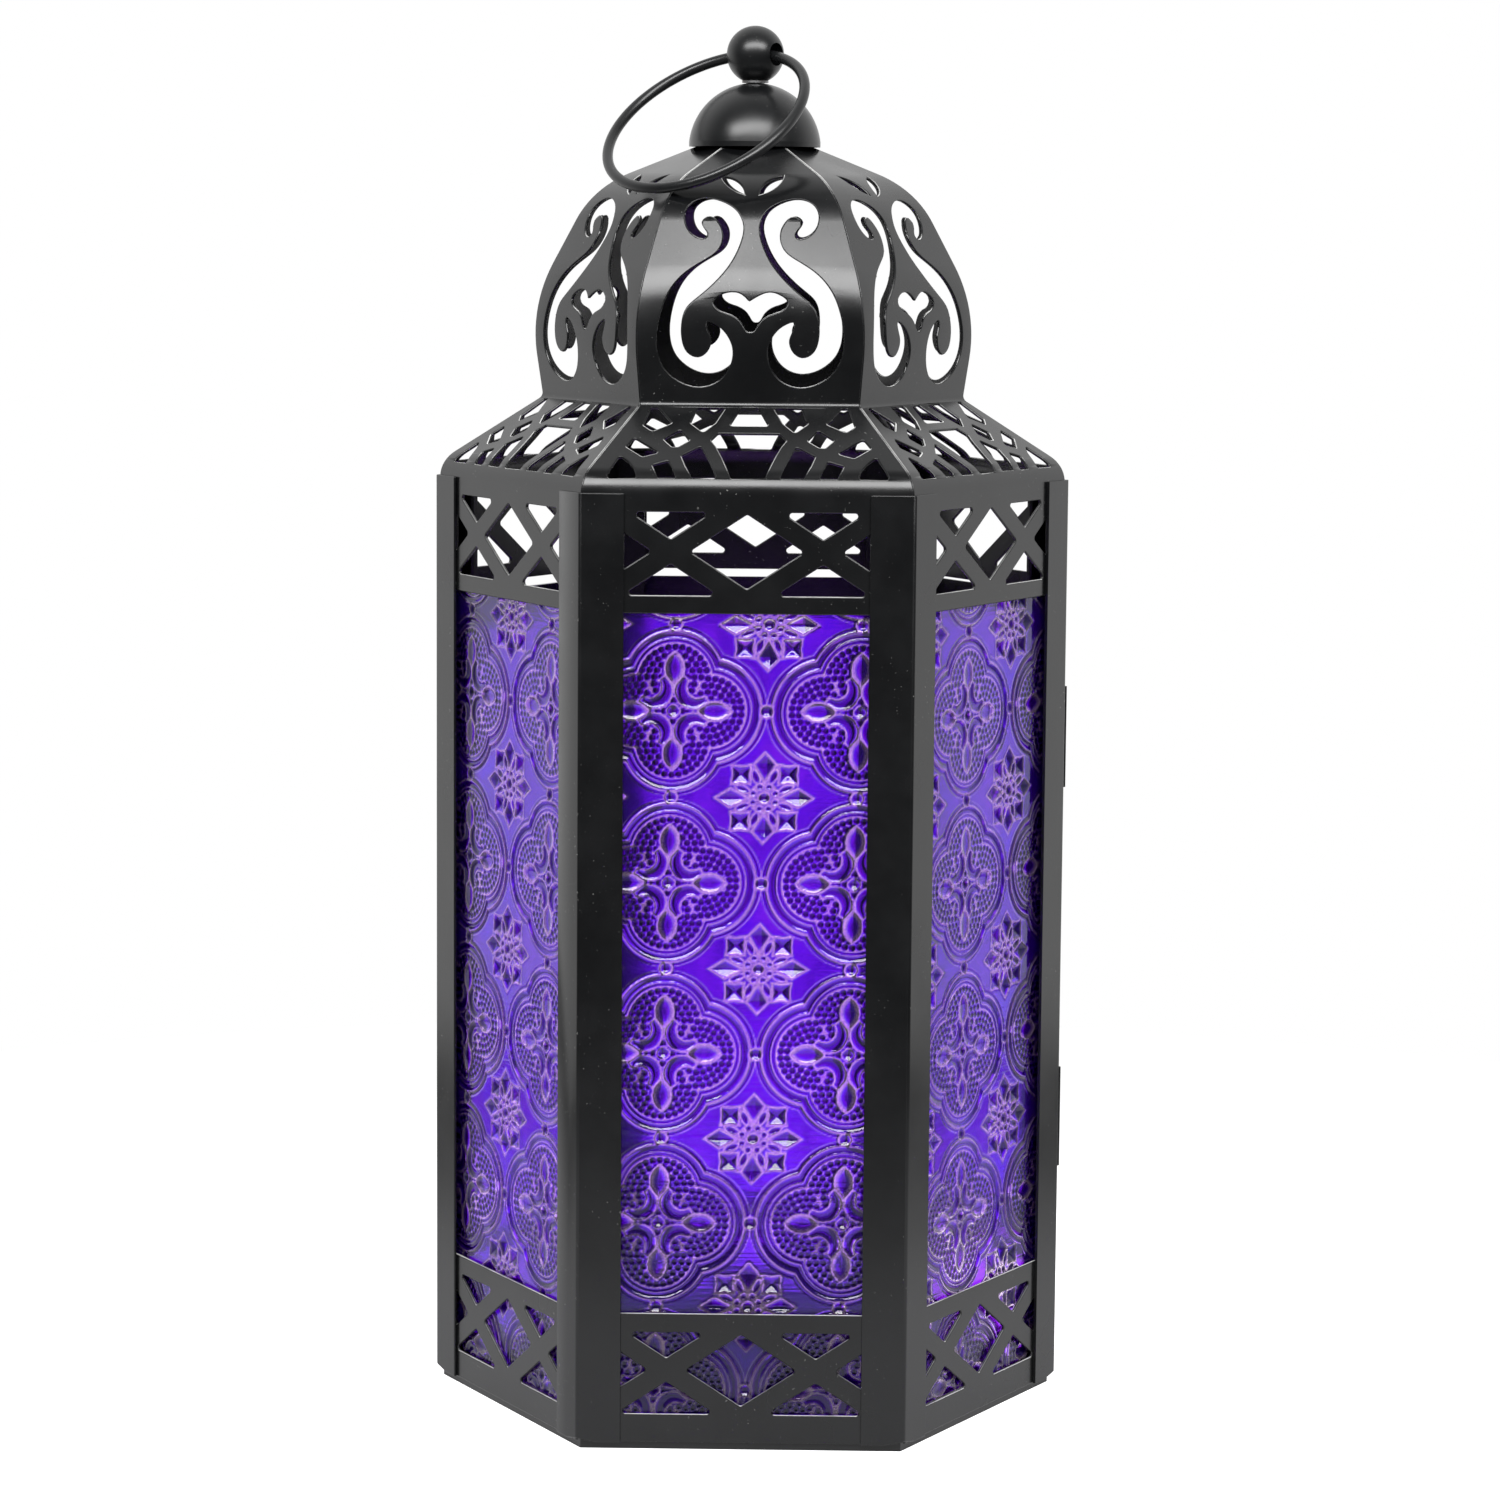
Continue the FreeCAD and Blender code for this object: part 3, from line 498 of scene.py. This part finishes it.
def figured_pane(node, side, body, centre_u, centre_z, lean, dark_strip):
    """Glass slab with the pressed pattern on its outer face, in place of a CAD pane; a strip along
    its top is coloured near-black on both faces."""
    u0, u1, s_in, s_out, z0, z1 = side_extent(node, side)
    half = (u1 - u0) / 2
    us = grid_lines(half, min(WINDOW_HALF, half))
    zs = np.linspace(z0, z1, int(round((z1 - z0) / STEP)) + 1)
    u, z = np.meshgrid(us, zs)
    level, pale = relief(u, z, centre_u, centre_z, lean)
    # near-black strip along the top of the outer face
    pale = np.where(z > z1 - dark_strip, -1.0, pale)
    to_edge = np.minimum(half - np.abs(u), np.minimum(z - z0, z1 - z))
    level = level * np.clip(to_edge / EDGE_FADE, 0.0, 1.0)
    distance = s_out - RELIEF * (1.0 - level)

    rows, columns = u.shape
    index = np.arange(rows * columns).reshape(rows, columns)
    rim = np.concatenate([index[0, :], index[1:, -1], index[-1, -2::-1], index[-2:0:-1, 0]])
    count = len(rim)
    front = np.stack([u, -distance, z], -1).reshape(-1, 3)
    back = front[rim].copy()
    back[:, 1] = -s_in
    inner_pale = np.ones(count)
    clear = None
    if dark_strip:
        # the same near-black strip on the inner face
        inner_pale[back[:, 2] > z1 - dark_strip] = -1.0
        clear = int(np.sum(zs <= z1 - dark_strip)) - 1

    quads = np.stack([index[:-1, :-1], index[:-1, 1:], index[1:, 1:], index[1:, :-1]], -1).reshape(-1, 4)
    first = rows * columns
    here = np.arange(count)
    ahead = np.roll(here, -1)
    edges = np.stack([rim, first + here, first + ahead, rim[ahead]], -1)
    inside = [[first + corner for corner in reversed(loop)] for loop in inner_loops(count, columns, clear)]
    faces = quads.tolist() + edges.tolist() + inside

    pane_mesh = bpy.data.meshes.new("figured_" + node)
    pane_mesh.from_pydata((turned(np.concatenate([front, back]) * MM, side)).tolist(), [], faces)
    smooth = np.zeros(len(faces), bool)
    smooth[:len(quads)] = True
    pane_mesh.polygons.foreach_set("use_smooth", smooth)
    pane_mesh.materials.append(GLASS)
    pane_mesh.update()
    for label, outer, inner in (("pale", pale.ravel(), inner_pale),
                                ("inner", np.zeros(first), np.ones(count))):
        values = pane_mesh.attributes.new(label, "FLOAT", "POINT")
        values.data.foreach_set("value", np.concatenate([outer, inner]).astype(np.float32))
    pane = bpy.data.objects.new("figured_" + node, pane_mesh)
    bpy.context.scene.collection.objects.link(pane)
    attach(pane, body)
    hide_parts(node)


# each pane's side, counted from the front towards +X, its body, u and z of one quatrefoil's centre,
# sideways drift of the pattern with height, and height of the near-black strip along its top
PANES = {"glass_pane_1": (0, "lantern", -16.9, 85.6, LEAN, 0.0),
         "glass_pane_2": (1, "lantern", -7.6, 155.4, 0.002, 0.0),
         "door_glass": (2, "door", -4.0, 62.0, 0.0, 0.0),
         "glass_pane_4": (3, "lantern", 12.0, 80.0, -0.01, 8.0),
         "glass_pane_5": (4, "lantern", -2.0, 93.0, 0.0, 8.0),
         "glass_pane_6": (5, "lantern", 18.5, 156.9, 0.025, 0.0)}
for node, placing in PANES.items():
    figured_pane(node, *placing)


# ---- stage --------------------------------------------------------------------------------
FLOOR_RADIUS = 0.45                # metres, like the two distances below
LIT_WITHIN, DIM_BEYOND = 0.12, 0.38
WHITE = (1.0, 1.0, 1.0)


def floor_material():
    """Grey sheet that glows white where seen straight or through glass, with a painted pool of glow near
    the object and a colour that darkens further out.
    """
    s = Shader("pale_floor")
    distance = s.new("VectorMath")
    distance.operation = "LENGTH"
    s.link(s.place, distance.inputs[0])
    far = s.ramp(distance.outputs["Value"], LIT_WITHIN, DIM_BEYOND)
    rays = s.new("LightPath")
    seen = s.math("MAXIMUM", rays.outputs["Is Camera Ray"], rays.outputs["Is Transmission Ray"])
    # painted pool of light: the floor glows more near the object
    near = s.math("MULTIPLY", s.math("SUBTRACT", 1.0, far), 0.42)
    # painted shade: the floor's colour darkens away from the object
    s.set(Base_Color=s.mix(far, (0.30, 0.30, 0.31), (0.12, 0.12, 0.12)), Roughness=0.9)
    s.set(Emission_Color=WHITE, Emission_Strength=s.math("ADD", near, s.math("MULTIPLY", seen, 0.85)))
    return s.material


bpy.ops.mesh.primitive_circle_add(vertices=96, radius=FLOOR_RADIUS, fill_type="NGON", location=(0, 0, 0))
floor = bpy.context.object
floor.name = "floor"
floor.data.materials.append(floor_material())


def studio_world():
    """White room: bright behind and beside the object, dim on the front side; what is seen straight
    or through the glass is paler than what the paint mirrors."""
    world = bpy.data.worlds.new("studio")
    bpy.context.scene.world = world
    world.use_nodes = True
    t = NodeTree(world.node_tree)
    background = t.new("Background")
    towards_back = t.axis(t.new("TexCoord").outputs["Generated"], "Y")
    mirrored = t.ramp(towards_back, -0.35, 0.45, 0.11, 1.0)
    through_glass = t.ramp(towards_back, -0.3, 0.2, 0.45, 1.0, smooth=False)
    rays = t.new("LightPath")
    glazed = t.math("MULTIPLY", rays.outputs["Is Transmission Ray"], through_glass)
    seen = t.math("MAXIMUM", rays.outputs["Is Camera Ray"], glazed)
    t.feed(WHITE, background.inputs["Color"])
    t.link(t.math("MAXIMUM", seen, mirrored), background.inputs["Strength"])
    t.link(background.outputs[0], t.new("OutputWorld").inputs["Surface"])


studio_world()


def front_softbox():
    """Wide area light in front of and above the object, aimed at its roof; metres and watts."""
    elevation = math.radians(39.0)
    distance = 1.5
    light = bpy.data.lights.new("front_softbox", "AREA")
    light.shape = "RECTANGLE"
    light.size, light.size_y = 2.4, 0.55
    light.energy = 54.0
    lamp = bpy.data.objects.new("front_softbox", light)
    away = Vector((0.0, -math.cos(elevation), math.sin(elevation)))
    lamp.location = Vector((0.0, 0.0, 0.25)) + away * distance
    lamp.rotation_euler = (-away).to_track_quat("-Z", "Y").to_euler()
    lamp.visible_camera = False
    bpy.context.scene.collection.objects.link(lamp)


front_softbox()


# ---- camera -------------------------------------------------------------------------------
SENSOR, LENS = 36.0, 106.92
CAMERA_DISTANCE, CAMERA_HEIGHT = 984.9, 262.4   # from the lantern's axis, above the floor
AZIMUTH, DIP, ROLL = 0.89, 6.90, 0.45           # degrees: round to the right, downwards, tilt


def photo_camera():
    """Camera at the photograph's view of the lantern."""
    data = bpy.data.cameras.new("camera")
    data.sensor_width = SENSOR
    data.lens = LENS
    camera = bpy.data.objects.new("camera", data)
    turn = math.radians(AZIMUTH)
    distance = CAMERA_DISTANCE * MM
    camera.location = (distance * math.sin(turn), -distance * math.cos(turn), CAMERA_HEIGHT * MM)
    aim = Euler((math.radians(90.0 - DIP), 0.0, turn), "XYZ").to_quaternion()
    roll = Euler((0.0, 0.0, math.radians(ROLL)), "XYZ").to_quaternion()
    camera.rotation_mode = "QUATERNION"
    camera.rotation_quaternion = aim @ roll
    bpy.context.scene.collection.objects.link(camera)
    bpy.context.scene.camera = camera


photo_camera()
bpy.context.scene.view_settings.view_transform = "Standard"
bpy.context.scene.view_settings.look = "None"
